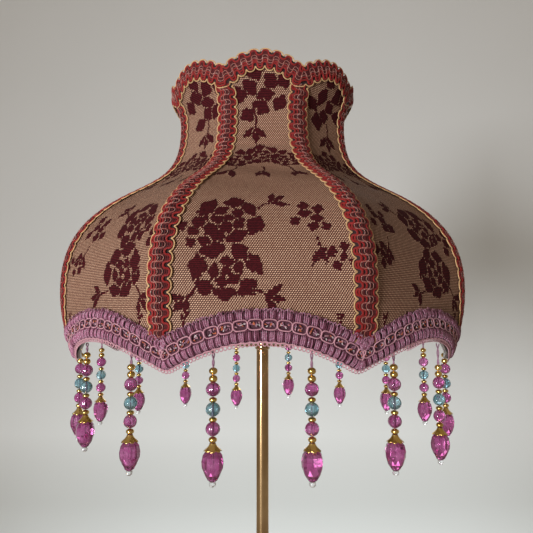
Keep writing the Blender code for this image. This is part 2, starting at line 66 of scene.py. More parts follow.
# The rib wire's centre line: radius, height, lean out from straight down in degrees, and the
# pull of that lean on the curve as a share of the span.
RIB_STATIONS = [
    (70.0, 471.0, 0, 0.35),  # crown
    (64.5, 440.0, 0, 0.50),  # waist
    (104.0, 384.0, 60, 0.42),  # shoulder
    (148.5, 317.0, 0, 0.40),  # belly
    (134.0, 261.0, -24, 0.35),  # hem
]
CROWN_VALLEY_Z, CROWN_ARCH = 469.0, 9.5
HEM_POINT_Z, HEM_ARCH = 268.6, 16.0
FABRIC_OUT = 1.8  # the lace's face, out from the wire's centre
LINING_OUT = -1.9
BRAID_OUT = 2.1  # the base tape's face
GIMP_OUT = 2.3


def catmull_rom(points, per_span):
    """A smooth line through the points."""
    p = np.array([points[0], *points, points[-1]], float)
    t = np.linspace(0, 1, per_span, endpoint=False)[:, None]
    line = []
    for a, b, c, d in zip(p[:-3], p[1:-2], p[2:-1], p[3:]):
        square, cube = 2 * a - 5 * b + 4 * c - d, 3 * b - a - 3 * c + d
        line.append(0.5 * (2 * b + (c - a) * t + square * t * t + cube * t ** 3))
    return np.vstack([*line, p[-2]])


def bell_line(stations, steps=40):
    """Bezier spans from station to station, each leaving and arriving along its station's lean."""
    line = []
    for (r0, z0, lean0, pull0), (r1, z1, lean1, pull1) in zip(stations, stations[1:]):
        span = math.hypot(r1 - r0, z1 - z0)
        start, end = np.array([r0, z0]), np.array([r1, z1])
        a, b = math.radians(lean0), math.radians(lean1)
        leave = start + pull0 * span * np.array([math.sin(a), -math.cos(a)])
        arrive = end - pull1 * span * np.array([math.sin(b), -math.cos(b)])
        for t in np.linspace(0, 1, steps, endpoint=False):
            s = 1 - t
            line.append(s ** 3 * start + 3 * t * s * s * leave + 3 * t * t * s * arrive + t ** 3 * end)
    return np.array([*line, end])


RIB_LINE = bell_line(RIB_STATIONS)[::-1]
RIB_LENGTH = np.concatenate([[0], np.cumsum(np.hypot(*np.diff(RIB_LINE, axis=0).T))])


def rib_radius(z):
    return np.interp(z, RIB_LINE[:, 1], RIB_LINE[:, 0])


def length_at(z):
    """The length along the skin from the bottom up to a height."""
    return np.interp(z, RIB_LINE[:, 1], RIB_LENGTH)


def height_at(length):
    return np.interp(length, RIB_LENGTH, RIB_LINE[:, 1])


def smooth_step(x):
    x = np.clip(x, 0, 1)
    return x * x * (3 - 2 * x)


def roundness(z):
    """1 where the section is a circle, 0 where a panel is flat, and below 0 where the cloth pulls in."""
    at_rings = np.maximum(1 - smooth_step((z - 274) / 45), smooth_step((z - 446) / 24))
    return at_rings - 0.25 * np.exp(-((z - 362) / 26) ** 2)


def across(azimuth):
    """-1 and 1 at a panel's ribs and 0 in its middle."""
    return (azimuth - 2 * HALF * np.round(azimuth / (2 * HALF))) / HALF


def soft_across(azimuth, corner=0.07):
    """The same, rounded off at the ribs."""
    return 1 - np.sqrt((1 - np.abs(across(azimuth))) ** 2 + corner ** 2)


def hem_z(azimuth):
    return HEM_POINT_Z - 2 + (HEM_ARCH + 2) * (1 - soft_across(azimuth) ** 2)


def crown_z(azimuth):
    return CROWN_VALLEY_Z - 1.2 + (CROWN_ARCH + 1.2) * (1 - soft_across(azimuth) ** 2)


def skin(azimuth, z, panel=None):
    """Points on the skin through the wires. With a panel named, its own surface runs on past its ribs."""
    phi = across(azimuth) * HALF if panel is None else azimuth - 2 * HALF * panel
    b = roundness(z)
    r = rib_radius(z) * (b + (1 - b) * math.cos(HALF) / np.cos(phi))
    return np.stack([r * np.sin(azimuth), -r * np.cos(azimuth), z + 0 * azimuth], -1)


def skin_frame(azimuth, z, panel, reach):
    """Points, and unit vectors out of the skin. The reach, in mm, rounds the corners over the ribs."""
    azimuth, z = np.broadcast_arrays(np.asarray(azimuth, float), np.asarray(z, float))
    turn = reach / rib_radius(z)
    along = skin(azimuth + turn, z, panel) - skin(azimuth - turn, z, panel)
    up = skin(azimuth, z + 0.8, panel) - skin(azimuth, z - 0.8, panel)
    out = np.cross(along, up)
    return skin(azimuth, z, panel), out / np.linalg.norm(out, axis=-1, keepdims=True)


# ---- mesh helpers -------------------------------------------------------------------------------
class Build:
    """Collects quads, with a material and a texture place (in mm) for each, and makes one object of them."""

    def __init__(self):
        self.points, self.quads, self.kinds, self.places, self.count = [], [], [], [], 0

    def grid(self, points, kind=0, places=None, close_u=False, close_v=False):
        """A grid of points (rows, columns, 3), with faces between."""
        rows, columns = points.shape[:2]
        index = self.count + np.arange(rows * columns).reshape(rows, columns)
        if close_v:
            index = np.vstack([index, index[:1]])
        if close_u:
            index = np.hstack([index, index[:, :1]])
        corners = [index[:-1, :-1], index[:-1, 1:], index[1:, 1:], index[1:, :-1]]
        quads = np.stack(corners, -1).reshape(-1, 4)
        if places is None:
            places = np.zeros((rows, columns, 2))
        self.points.append(points.reshape(-1, 3))
        self.places.append(places.reshape(-1, 2))
        self.quads.append(quads)
        self.kinds.append(np.full(len(quads), kind))
        self.count += rows * columns

    def cord(self, line, radius, kind=0, out=None, sides=6, flat=1.0, closed=False):
        """A round or flattened cord along a line of points. out points away from what it lies on."""
        line = np.asarray(line, float)
        if closed:
            tangent = np.roll(line, -1, 0) - np.roll(line, 1, 0)
        else:
            tangent = np.gradient(line, axis=0)
        tangent /= np.linalg.norm(tangent, axis=1, keepdims=True) + 1e-9
        if out is None:
            out = [0.0, 0.0, 1.0] if abs(tangent[0, 2]) < 0.9 else [1.0, 0.0, 0.0]
        out = np.broadcast_to(out, line.shape)
        up = out - (out * tangent).sum(1, keepdims=True) * tangent
        up /= np.linalg.norm(up, axis=1, keepdims=True) + 1e-9
        side = np.cross(tangent, up)
        radius = np.broadcast_to(np.asarray(radius, float), (len(line),))
        if not closed:
            radius = radius.copy()
            radius[[0, -1]] *= 0.05
        turn = TAU * np.arange(sides) / sides
        ring = up[:, None] * np.cos(turn)[None, :, None] * flat + side[:, None] * np.sin(turn)[None, :, None]
        points = line[:, None] + ring * radius[:, None, None]
        run = np.concatenate([[0], np.cumsum(np.linalg.norm(np.diff(line, axis=0), axis=1))])
        places = np.stack(np.broadcast_arrays(run[:, None], turn[None] / TAU * 4), -1)
        self.grid(points, kind, places, close_u=True, close_v=closed)

    def ball(self, centre, radius, kind=0, height=None, columns=16, rows=10, flutes=0, depth=0.06):
        """A ball, or an egg where a height is given, with upright flutes if asked."""
        height = radius if height is None else height
        tilt = np.linspace(0.02, math.pi - 0.02, rows)[:, None]
        turn = TAU * np.arange(columns)[None] / columns
        reach = radius * np.sin(tilt) * (1 - depth * np.abs(np.sin(flutes * turn / 2)) ** 2)
        up = height * np.cos(tilt) + 0 * turn
        points = np.stack([reach * np.cos(turn), reach * np.sin(turn), up], -1)
        places = np.stack(np.broadcast_arrays(turn * radius, tilt * height), -1)
        self.grid(points[:, ::-1] + np.asarray(centre), kind, places, close_u=True)

    def turned(self, profile, kind=0, columns=72, closed=False, centre=(0, 0, 0)):
        """A turned shape from (radius, height) points, down its outer side."""
        profile = np.asarray(profile, float)
        turn = -TAU * np.arange(columns)[None] / columns
        r, z = profile[:, :1], profile[:, 1:]
        points = np.stack([r * np.cos(turn), r * np.sin(turn), z + 0 * turn], -1)
        run = np.concatenate([[0], np.cumsum(np.linalg.norm(np.diff(profile, axis=0), axis=1))])
        places = np.stack(np.broadcast_arrays(-turn * 20, run[:, None]), -1)
        self.grid(points + np.asarray(centre), kind, places, close_u=True, close_v=closed)

    def make(self, name, materials, body, slot, flat_kinds=()):
        mesh = bpy.data.meshes.new(name)
        points = np.vstack(self.points) * MM
        quads = np.vstack(self.quads)
        kinds = np.concatenate(self.kinds)
        places = np.vstack(self.places)
        mesh.vertices.add(len(points))
        mesh.vertices.foreach_set("co", points.ravel())
        mesh.loops.add(quads.size)
        mesh.loops.foreach_set("vertex_index", quads.ravel())
        mesh.polygons.add(len(quads))
        mesh.polygons.foreach_set("loop_start", np.arange(len(quads)) * 4)
        mesh.polygons.foreach_set("material_index", kinds)
        mesh.polygons.foreach_set("use_smooth", np.isin(kinds, flat_kinds, invert=True))
        layer = mesh.uv_layers.new(name="place")
        layer.data.foreach_set("uv", places[quads.ravel()].ravel())
        mesh.update()
        mesh.validate()
        for each in materials:
            mesh.materials.append(each)
        obj = bpy.data.objects.new(name, mesh)
        bpy.context.scene.collection.objects.link(obj)
        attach(obj, body)
        return obj


# ---- materials ----------------------------------------------------------------------------------
class Paint:
    """A short hand for building a material's nodes."""

    def __init__(self, name, roughness=0.5, metallic=0.0, **sockets):
        self.material = bpy.data.materials.new(name)
        self.material.use_nodes = True
        self.tree = self.material.node_tree
        self.shader = self.tree.nodes["Principled BSDF"]
        self.shader.inputs["Roughness"].default_value = roughness
        self.shader.inputs["Metallic"].default_value = metallic
        for socket, value in sockets.items():
            self.shader.inputs[socket.replace("_", " ")].default_value = value

    def node(self, kind, settings=None, **links):
        made = self.tree.nodes.new("ShaderNode" + kind)
        for key, value in (settings or {}).items():
            if hasattr(made, key):
                setattr(made, key, value)
            else:
                made.inputs[key].default_value = value
        for key, source in links.items():
            numbered = key[0] == "i" and key[1:].isdigit()
            self.tree.links.new(source, made.inputs[int(key[1:]) if numbered else key])
        return made

    def math(self, operation, a, b=0.0, clamp=False):
        made = self.tree.nodes.new("ShaderNodeMath")
        made.operation, made.use_clamp = operation, clamp
        for socket, value in zip(made.inputs, (a, b)):
            if isinstance(value, (int, float)):
                socket.default_value = value
            else:
                self.tree.links.new(value, socket)
        return made.outputs[0]

    def place(self):
        """The texture place, in mm, as two sockets."""
        uv = self.node("UVMap", {"uv_map": "place"}).outputs[0]
        parts = self.node("SeparateXYZ", i0=uv)
        return parts.outputs[0], parts.outputs[1]

    def noise(self, scale, detail):
        """Noise in object space, with a scale per metre."""
        place = self.node("TexCoord").outputs["Object"]
        settings = {"Scale": scale, "Detail": detail, "Roughness": 0.5}
        return self.node("TexNoise", settings, Vector=place).outputs[0]

    def ramp(self, value, *stops):
        made = self.node("ValToRGB", i0=value)
        elements = made.color_ramp.elements
        while len(elements) < len(stops):
            elements.new(0.5)
        for element, (place, colour) in zip(elements, stops):
            element.position = place
            element.color = (*colour, 1.0)
        return made.outputs[0]

    def mix(self, share, a, b):
        made = self.tree.nodes.new("ShaderNodeMix")
        made.data_type = "RGBA"
        for socket, value in zip((made.inputs[0], made.inputs[6], made.inputs[7]), (share, a, b)):
            if isinstance(value, (int, float)):
                socket.default_value = value
            elif isinstance(value, tuple):
                socket.default_value = (*value, 1.0)
            else:
                self.tree.links.new(value, socket)
        return made.outputs[2]

    def colour(self, source):
        self.tree.links.new(source, self.shader.inputs["Base Color"])

    def rough(self, source, low, high):
        made = self.node("MapRange", {"To Min": low, "To Max": high}, i0=source)
        self.tree.links.new(made.outputs[0], self.shader.inputs["Roughness"])

    def bump(self, height, distance, strength=1.0):
        """distance is in mm."""
        made = self.node("Bump", {"Strength": strength, "Distance": distance * MM}, Height=height)
        self.tree.links.new(made.outputs[0], self.shader.inputs["Normal"])


def metal(name, light, dark, roughness, brush=None):
    """Polished metal with slow tarnish, fine scratches and, if asked, turning marks."""
    p = Paint(name, roughness, 1.0)
    cloud = p.noise(45, 4)
    fine = p.noise(1400, 3)
    p.colour(p.mix(p.ramp(cloud, (0.35, (0, 0, 0)), (0.72, (1, 1, 1))), light, dark))
    worn = p.math("ADD", p.math("MULTIPLY", cloud, 0.6), p.math("MULTIPLY", fine, 0.4))
    p.rough(worn, roughness * 0.7, roughness * 1.5)
    height = fine
    if brush:
        settings = {"wave_type": "BANDS", "bands_direction": "Z", "Scale": brush, "Detail": 2.0}
        settings["Distortion"] = 1.5
        height = p.node("TexWave", settings, Vector=p.node("TexCoord").outputs["Object"]).outputs[1]
    p.bump(height, 0.012, 0.5)
    return p.material


def yarn(name, light, dark, twist=1.6, roughness=0.6, sheen=0.35, painted_glint=None):
    """Twisted yarn: strands wind round the cord, with painted shade in the gaps between them, loose fibres
    and, where a glint colour is given, painted glints on the fibres.
    """
    p = Paint(name, roughness, Sheen_Weight=0.15 * sheen, Sheen_Roughness=0.4, Specular_IOR_Level=0.3)
    along, around = p.place()
    strand = p.math("ADD", p.math("MULTIPLY", along, twist), around)
    wave = p.math("ABSOLUTE", p.math("SINE", p.math("MULTIPLY", strand, math.pi)))
    cloud = p.noise(160, 3)
    fibre = p.noise(2600, 2)
    worn = p.math("ADD", 0.62, p.math("MULTIPLY", cloud, 0.7))
    # Painted shade: the colour runs to its dark end in the gaps between the strands.
    shade = p.math("MULTIPLY", p.math("POWER", wave, 0.6), worn, clamp=True)
    colour = p.mix(shade, dark, light)
    # Painted glints: bright flecks of the glint colour where the fine fibre noise is high.
    if painted_glint:
        colour = p.mix(p.ramp(fibre, (0.60, (0, 0, 0)), (0.68, (1, 1, 1))), colour, painted_glint)
    p.colour(colour)
    p.rough(fibre, roughness * 0.75, min(1.0, roughness * 1.3))
    p.bump(p.math("ADD", wave, p.math("MULTIPLY", fibre, 0.5)), 0.16, 0.9)
    return p.material


def cloth(name, light, dark, thread_mm, roughness=0.85, sheen=0.2):
    """Plain woven cloth on texture places in mm."""
    p = Paint(name, roughness, Sheen_Weight=sheen)
    x, y = p.place()
    warp = p.math("SINE", p.math("MULTIPLY", x, TAU / thread_mm))
    weft = p.math("SINE", p.math("MULTIPLY", y, TAU / thread_mm))
    weave = p.math("ADD", p.math("MULTIPLY", p.math("MULTIPLY", warp, weft), 0.5), 0.5)
    cloud = p.noise(60, 4)
    worn = p.math("ADD", 0.55, p.math("MULTIPLY", cloud, 0.7))
    p.colour(p.mix(p.math("MULTIPLY", weave, worn, clamp=True), dark, light))
    p.rough(weave, roughness * 0.9, min(1.0, roughness * 1.1))
    p.bump(weave, 0.08, 0.7)
    return p.material


CELL_W, CELL_H = 1.4, 1.06  # the net's mesh
GLASS_ROUGHNESS = 0.04


def lace(name):
    """Burgundy motifs on a fine dark net over tan satin, with a painted glint in each mesh, from the mesh's
    own 'motif' values.
    """
    p = Paint(name, 0.55, Specular_IOR_Level=0.15)
    x, y = p.place()
    row = p.math("FLOOR", p.math("DIVIDE", y, CELL_H))
    column = p.math("ADD", p.math("DIVIDE", x, CELL_W), p.math("MULTIPLY", p.math("MODULO", row, 2.0), 0.5))
    fx = p.math("SUBTRACT", p.math("FRACT", column), 0.5)
    fy = p.math("SUBTRACT", p.math("FRACT", p.math("DIVIDE", y, CELL_H)), 0.5)
    slant = p.math("SUBTRACT", fx, p.math("MULTIPLY", fy, 0.42))
    inside = p.math("ADD", p.math("POWER", p.math("ABSOLUTE", p.math("DIVIDE", slant, 0.40)), 2.0),
                    p.math("POWER", p.math("ABSOLUTE", p.math("DIVIDE", fy, 0.47)), 2.0))
    hole = p.ramp(inside, (0.45, (1, 1, 1)), (1.0, (0, 0, 0)))
    # Painted glint: a bright tan spot in the middle of each mesh, of random strength, stands in for light
    # caught on the satin.
    painted_glint_spot = p.ramp(inside, (0.02, (1, 1, 1)), (0.40, (0, 0, 0)))
    painted_glint = p.node("TexWhiteNoise", {"noise_dimensions": "2D"},
                   Vector=p.node("CombineXYZ", i0=p.math("FLOOR", column), i1=row).outputs[0]).outputs[0]
    cloud = p.noise(28, 3)
    satin = p.mix(cloud, (0.27, 0.125, 0.078), (0.40, 0.205, 0.130))
    painted_glint_share = p.math("MULTIPLY", painted_glint_spot, p.math("ADD", 0.35, p.math("MULTIPLY", painted_glint, 0.6)))
    satin = p.mix(painted_glint_share, satin, (0.86, 0.60, 0.40))
    ground = p.mix(hole, (0.042, 0.012, 0.010), satin)
    motif = p.node("Attribute", {"attribute_name": "motif"}).outputs["Fac"]
    solid = p.ramp(motif, (0.42, (0, 0, 0)), (0.56, (1, 1, 1)))
    lines = p.math("SINE", p.math("MULTIPLY", y, TAU / CELL_H))
    worn = p.math("ADD", p.math("MULTIPLY", lines, 0.35), p.noise(900, 2))
    worn = p.ramp(worn, (0.3, (0, 0, 0)), (0.9, (1, 1, 1)))
    thread = p.mix(worn, (0.016, 0.001, 0.002), (0.085, 0.006, 0.009))
    p.colour(p.mix(solid, ground, thread))
    height = p.math("ADD", p.math("MULTIPLY", p.math("SUBTRACT", 1.0, hole), 0.5),
                    p.math("MULTIPLY", solid, p.math("ADD", 0.8, p.math("MULTIPLY", lines, 0.25))))
    p.bump(height, 0.22, 0.8)
    p.rough(solid, 0.62, 0.9)
    return p.material


def glass(name, colour, streak=None):
    """Clear coloured glass, with cloudy streaks inside where asked."""
    p = Paint(name, GLASS_ROUGHNESS, IOR=1.5, Transmission_Weight=0.9)
    cloud = p.noise(260, 3)
    p.colour(p.mix(p.ramp(cloud, (0.42, (0, 0, 0)), (0.70, (1, 1, 1))), colour, streak or colour))
    p.rough(cloud, GLASS_ROUGHNESS * 0.5, GLASS_ROUGHNESS * 2.5)
    return p.material


def plastic(name, light, dark, roughness, grain=300):
    p = Paint(name, roughness)
    cloud = p.noise(grain, 3)
    p.colour(p.mix(cloud, dark, light))
    p.rough(cloud, roughness * 0.8, roughness * 1.2)
    p.bump(p.noise(grain * 5, 2), 0.03, 0.5)
    return p.material


BRASS = metal("brass_polished", (0.62, 0.41, 0.21), (0.42, 0.26, 0.12), 0.15)
BRASS_SPUN = metal("brass_spun", (0.70, 0.47, 0.24), (0.50, 0.32, 0.15), 0.22, brush=260)
GILT = metal("gilt_beads", (0.90, 0.64, 0.24), (0.66, 0.42, 0.10), 0.2)
STEEL = metal("plated_wire", (0.60, 0.60, 0.60), (0.40, 0.39, 0.37), 0.35)
IRON = metal("cast_iron", (0.10, 0.10, 0.105), (0.05, 0.05, 0.05), 0.7)
ALUMINIUM = metal("pressed_aluminium", (0.78, 0.78, 0.79), (0.6, 0.6, 0.6), 0.3)
LACE = lace("lace_over_satin")
LINING = cloth("lining_cotton", (0.80, 0.72, 0.58), (0.62, 0.53, 0.40), 0.7)
RED = yarn("braid_red", (0.36, 0.016, 0.013), (0.045, 0.001, 0.002), 1.1, 0.5, 0.4)
# Darker red yarn, and also painted shade: it goes on the braid's centre and plus-side cords.
MAROON_AND_SHADE = yarn("braid_maroon_and_shade", (0.125, 0.007, 0.008), (0.02, 0.001, 0.002), 1.1, 0.6, 0.3)
GOLD_CORD = yarn("braid_gold_edge", (0.84, 0.53, 0.26), (0.40, 0.19, 0.07), 2.4, 0.42, 0.2)
PINK_CORD = yarn("braid_pink_line", (0.50, 0.17, 0.13), (0.16, 0.02, 0.02), 2.2, 0.5, 0.3, (0.95, 0.78, 0.70))
# Near-black backing for the braid, partly painted shade in the gaps between its cords.
TAPE_AND_SHADE = cloth("braid_tape_and_shade", (0.030, 0.003, 0.004), (0.010, 0.001, 0.001), 0.9)
MAUVE = yarn("gimp_mauve", (0.48, 0.17, 0.27), (0.12, 0.025, 0.05), 1.4, 0.36, 0.8, (0.90, 0.76, 0.86))
MAUVE_DARK = yarn("gimp_plum", (0.20, 0.045, 0.085), (0.05, 0.008, 0.015), 1.4, 0.5, 0.5)
LINK = yarn("gimp_link", (0.80, 0.42, 0.48), (0.44, 0.16, 0.20), 2.2, 0.42, 0.4)
# Dark backing for the gimp, partly painted shade in the gaps between its tufts and cords.
GIMP_TAPE_AND_SHADE = cloth("gimp_tape_and_shade", (0.085, 0.016, 0.030), (0.025, 0.004, 0.008), 0.9)
SPARK = yarn("gimp_white_fleck", (0.88, 0.78, 0.78), (0.5, 0.3, 0.32), 2.0, 0.35, 0.2)
COPPER = yarn("gimp_copper_fleck", (0.75, 0.20, 0.09), (0.36, 0.05, 0.02), 2.0, 0.35, 0.2)
THREAD = yarn("bead_thread", (0.46, 0.24, 0.34), (0.18, 0.07, 0.11), 3.0, 0.6, 0.3)
MAGENTA = glass("magenta_glass", (0.50, 0.10, 0.32), streak=(0.72, 0.32, 0.58))
MAGENTA_CUT = glass("magenta_cut_glass", (0.47, 0.09, 0.29), streak=(0.68, 0.24, 0.50))
TEAL = glass("teal_glass", (0.20, 0.42, 0.50), streak=(0.55, 0.74, 0.78))
CLEAR = glass("clear_glass", (0.95, 0.97, 0.97))
FELT = cloth("felt", (0.055, 0.085, 0.055), (0.03, 0.05, 0.03), 0.5, 0.95)
RUBBER = plastic("rubber", (0.035, 0.035, 0.035), (0.02, 0.02, 0.02), 0.6)
PHENOLIC = plastic("phenolic", (0.065, 0.04, 0.03), (0.03, 0.02, 0.016), 0.35)
CARD = plastic("fibre_card", (0.66, 0.58, 0.44), (0.5, 0.42, 0.3), 0.9, 700)
CABLE = plastic("cable_gold", (0.50, 0.38, 0.2), (0.4, 0.28, 0.12), 0.45)


# ---- camera, light and stage --------------------------------------------------------------------
LENS = 36.97
SHIFT_X = 0.0075
CAMERA_PLACE = (0.0, -0.437, 0.300)  # metres
CAMERA_PITCH = 4.71  # degrees up from level


def make_camera():
    data = bpy.data.cameras.new("camera")
    data.sensor_width = 36.0
    data.lens = LENS
    data.shift_x = SHIFT_X
    camera = bpy.data.objects.new("camera", data)
    camera.location = CAMERA_PLACE
    camera.rotation_euler = (math.radians(90 + CAMERA_PITCH), 0, 0)
    bpy.context.scene.collection.objects.link(camera)
    bpy.context.scene.camera = camera


def area_light(name, place, aim, size, power, colour, size_y, spread=180):
    data = bpy.data.lights.new(name, "AREA")
    data.spread = math.radians(spread)
    data.energy, data.color, data.size = power, colour, size
    data.shape, data.size_y = "RECTANGLE", size_y
    light = bpy.data.objects.new(name, data)
    light.location = place
    light.visible_camera = False
    light.rotation_euler = (Vector(aim) - Vector(place)).to_track_quat("-Z", "Y").to_euler()
    bpy.context.scene.collection.objects.link(light)


def make_stage():
    """A pale table that ends just behind the lamp, and a wall behind it."""
    world = bpy.data.worlds.new("room")
    bpy.context.scene.world = world
    world.use_nodes = True
    world.node_tree.nodes["Background"].inputs[0].default_value = (1.0, 0.84, 0.66, 1)
    world.node_tree.nodes["Background"].inputs[1].default_value = 0.28
    plaster = plastic("plaster", (0.66, 0.65, 0.63), (0.62, 0.61, 0.59), 0.9, 3)
    table_top = plastic("table_top", (0.66, 0.65, 0.62), (0.62, 0.61, 0.585), 0.6, 4)
    for name, corners, paint in (
        ("wall", [(-3, 0.95, -1), (3, 0.95, -1), (3, 0.95, 2.6), (-3, 0.95, 2.6)], plaster),
        ("table", [(-1.6, -0.95, 0), (1.6, -0.95, 0), (1.6, 0.30, 0), (-1.6, 0.30, 0)], table_top),
    ):
        mesh = bpy.data.meshes.new(name)
        mesh.from_pydata(corners, [], [(0, 1, 2, 3)])
        mesh.materials.append(paint)
        obj = bpy.data.objects.new(name, mesh)
        bpy.context.scene.collection.objects.link(obj)
    area_light("window", (-0.95, -1.55, 0.24), (0, 0, 0.50), 0.38, 11.0, (0.92, 0.96, 1.0), 0.50, 95)
    area_light("low_wash", (0.10, 0.45, -0.55), (0.10, 0.95, -0.25), 1.5, 6.5, (0.84, 0.95, 1.0), 0.3)
    area_light("rear_fill", (0.30, 0.93, 0.62), (0.30, 0, 0.62), 0.6, 2.2, (0.96, 0.97, 1.0), 0.4)
    bpy.context.scene.view_settings.view_transform = "Standard"


# ---- lace motifs, drawn on the flat cloth in mm -------------------------------------------------
LOBE_DEPTH = 0.12
OUTSIDE = -2.0  # a field's value where there is no motif
NET_LINE = 0.45  # the line of open net round each motif


def turned_to(x, y, cx, cy, degrees):
    a = math.radians(degrees)
    dx, dy = x - cx, y - cy
    return dx * math.cos(a) + dy * math.sin(a), -dx * math.sin(a) + dy * math.cos(a)


def petal(x, y, cx, cy, rx, ry, degrees, lobes):
    """Above 0 inside an ellipse with a lobed edge."""
    u, v = turned_to(x, y, cx, cy, degrees)
    edge = 1 + LOBE_DEPTH * np.cos(lobes * np.arctan2(v / ry, u / rx))
    return (edge - np.hypot(u / rx, v / ry)) * min(rx, ry)


def leaf(x, y, cx, cy, length, width, degrees, teeth):
    """A pointed leaf with a saw edge and its base at (cx, cy)."""
    u, v = turned_to(x, y, cx, cy, degrees)
    t = u / length
    bow = np.sin(math.pi * np.clip(t, 0, 1) ** 0.8) * (1 + 0.16 * np.sin(t * teeth * TAU))
    return np.where((t > 0) & (t < 1), width / 2 * bow - np.abs(v), OUTSIDE)


def lay(field, shape):
    """Lays a shape over the others, with a line of open net round it."""
    return np.maximum(np.minimum(field, -shape - NET_LINE), shape)


def stem(x, y, x0, y0, x1, y1, bend, width):
    """A thin curved stalk between two points."""
    length = math.hypot(x1 - x0, y1 - y0)
    u, v = turned_to(x, y, x0, y0, math.degrees(math.atan2(y1 - y0, x1 - x0)))
    t = u / length
    return np.where((t > 0) & (t < 1), width / 2 - np.abs(v - bend * 4 * t * (1 - t)), OUTSIDE)


SHAPES = {"leaf": leaf, "petal": petal, "stem": stem}
LACE_SEED = 41
CLOTH_LENGTH = float(length_at(CROWN_VALLEY_Z) - length_at(HEM_POINT_Z))  # up a rib, from wire to wire
ROSE_SIZE = CLOTH_LENGTH / 12
SPRIG_SIZE = 0.62 * ROSE_SIZE
NECK_WIDTH = TAU * float(rib_radius(420.0)) / PANELS
BELL_WIDTH = TAU * float(rib_radius(317.0)) / PANELS


def up_cloth(share):
    """A place up the cloth, from 0 at the hem wire to 1 at the crown wire."""
    return float(length_at(HEM_POINT_Z)) + share * CLOTH_LENGTH


def lace_rose(rng, x, y, size, turn):
    """A rose of loose petals round a curled heart: two rings, parted and each a little out of true."""
    rows = []
    for count, reach, long, short in ((7, 0.98, 0.42, 0.27), (5, 0.46, 0.27, 0.19)):
        for k in range(count):
            a = turn + TAU * (k + rng.uniform(-0.16, 0.16)) / count
            r = size * reach * rng.uniform(0.9, 1.08)
            rx, ry = long * size * rng.uniform(0.85, 1.15), short * size * rng.uniform(0.85, 1.2)
            slant = math.degrees(a) + 90 + rng.uniform(-20, 20)
            rows.append(("petal", x + r * math.cos(a), y + 0.84 * r * math.sin(a), rx, ry, slant, 4))
    return rows + [("petal", x, y, 0.20 * size, 0.16 * size, 0, 3)]


def lace_leaves(rng, x, y, size, heading, count=3):
    """A short stalk from (x, y) with saw-edged leaves that fan from its end."""
    end = (x + 0.7 * size * math.cos(heading), y + 0.7 * size * math.sin(heading))
    rows = [("stem", x, y, *end, 0.06 * size, 1.4)]
    for k in range(count):
        fan = heading + 0.85 * (k - (count - 1) / 2) + rng.uniform(-0.12, 0.12)
        rows.append(("leaf", *end, size * rng.uniform(0.75, 1.0), 0.34 * size, math.degrees(fan), 2))
    return rows


def lace_cluster(rng, x, y, size, count):
    """Small buds packed round a point on a sunflower's spiral."""
    rows = []
    for k in range(count):
        a, r = 2.4 * k + rng.uniform(-0.2, 0.2), size * math.sqrt((k + 0.4) / count)
        rx, ry = 0.27 * size * rng.uniform(0.8, 1.2), 0.25 * size * rng.uniform(0.8, 1.2)
        slant = rng.uniform(0, 180)
        rows.append(("petal", x + r * math.cos(a), y + 0.85 * r * math.sin(a), rx, ry, slant, 4))
    return rows


def panel_lace(panel):
    """One panel's motifs: buds at the crown, a garland round the neck, and two roses with sprigs on the bell.

    On neighbouring panels the sprays lie to the other side, and a little higher or lower.
    """
    rng = random.Random(LACE_SEED + panel)
    side = -1 if panel % 2 == 0 else 1
    lift = rng.uniform(-0.02, 0.02)
    down = -math.pi / 2
    rows = lace_cluster(rng, 0.05 * side * NECK_WIDTH, up_cloth(0.93), 1.05 * ROSE_SIZE, 9)
    rows += lace_leaves(rng, 0.1 * side * NECK_WIDTH, up_cloth(0.87), 0.75 * ROSE_SIZE, down)
    for k in range(3):
        x = (k - 1) * 0.32 * NECK_WIDTH
        rows += lace_rose(rng, x, up_cloth(0.70 + 0.025 * (k % 2)), 0.5 * ROSE_SIZE, rng.uniform(0, TAU))
        rows += lace_leaves(rng, x, up_cloth(0.655), 0.75 * ROSE_SIZE, down + 0.35 * (k - 1), 2)
    bell = 0.5 * BELL_WIDTH
    for share, height in ((0.33, 0.37), (0.34, 0.235)):
        turn = rng.uniform(0, TAU)
        rows += lace_rose(rng, share * side * bell, up_cloth(height + lift), ROSE_SIZE * 0.78, turn)
    sprigs = (0.05, 0.40, 0.6, 2.5), (0.62, 0.20, 4.0, 5.4), (0.10, 0.19, -0.3, 3.4)
    for share, height, left, right in sprigs:
        heading = left if side < 0 else right
        rows += lace_leaves(rng, share * side * bell, up_cloth(height + lift), SPRIG_SIZE, heading)
    rows += lace_cluster(rng, 0.72 * side * bell, up_cloth(0.33 + lift), SPRIG_SIZE, 6)
    rows += lace_cluster(rng, -0.48 * side * bell, up_cloth(0.37 + lift), SPRIG_SIZE, 7)
    heading = -1.2 if side < 0 else 4.3
    rows += lace_leaves(rng, -0.50 * side * bell, up_cloth(0.32 + lift), SPRIG_SIZE, heading)
    rows += lace_cluster(rng, -0.72 * side * bell, up_cloth(0.27 + lift), 0.8 * SPRIG_SIZE, 6)
    for k in range(5):
        rows += lace_leaves(rng, (k - 2) * 0.36 * bell, up_cloth(0.10), 0.5 * SPRIG_SIZE, math.pi / 2, 2)
    return rows


def motif_values(x, y, lace):
    """1 on a motif and 0 on open net. Edges follow the net's meshes, so they come out stepped."""
    row = np.floor(y / CELL_H)
    shift = 0.5 * (row % 2)
    cx = (np.floor(x / (CELL_W / 2) + shift) + 0.5 - shift) * CELL_W / 2
    cy = (row + 0.5) * CELL_H
    field = np.full(x.shape, OUTSIDE)
    for shape, *sizes in lace:
        field = lay(field, SHAPES[shape](cx, cy, *sizes))
    ragged = np.sin(cx * 12.9898 + cy * 78.233) * 43758.5453
    field += 0.9 * (ragged - np.floor(ragged) - 0.5)
    return smooth_step(field / 0.5 + 0.5)


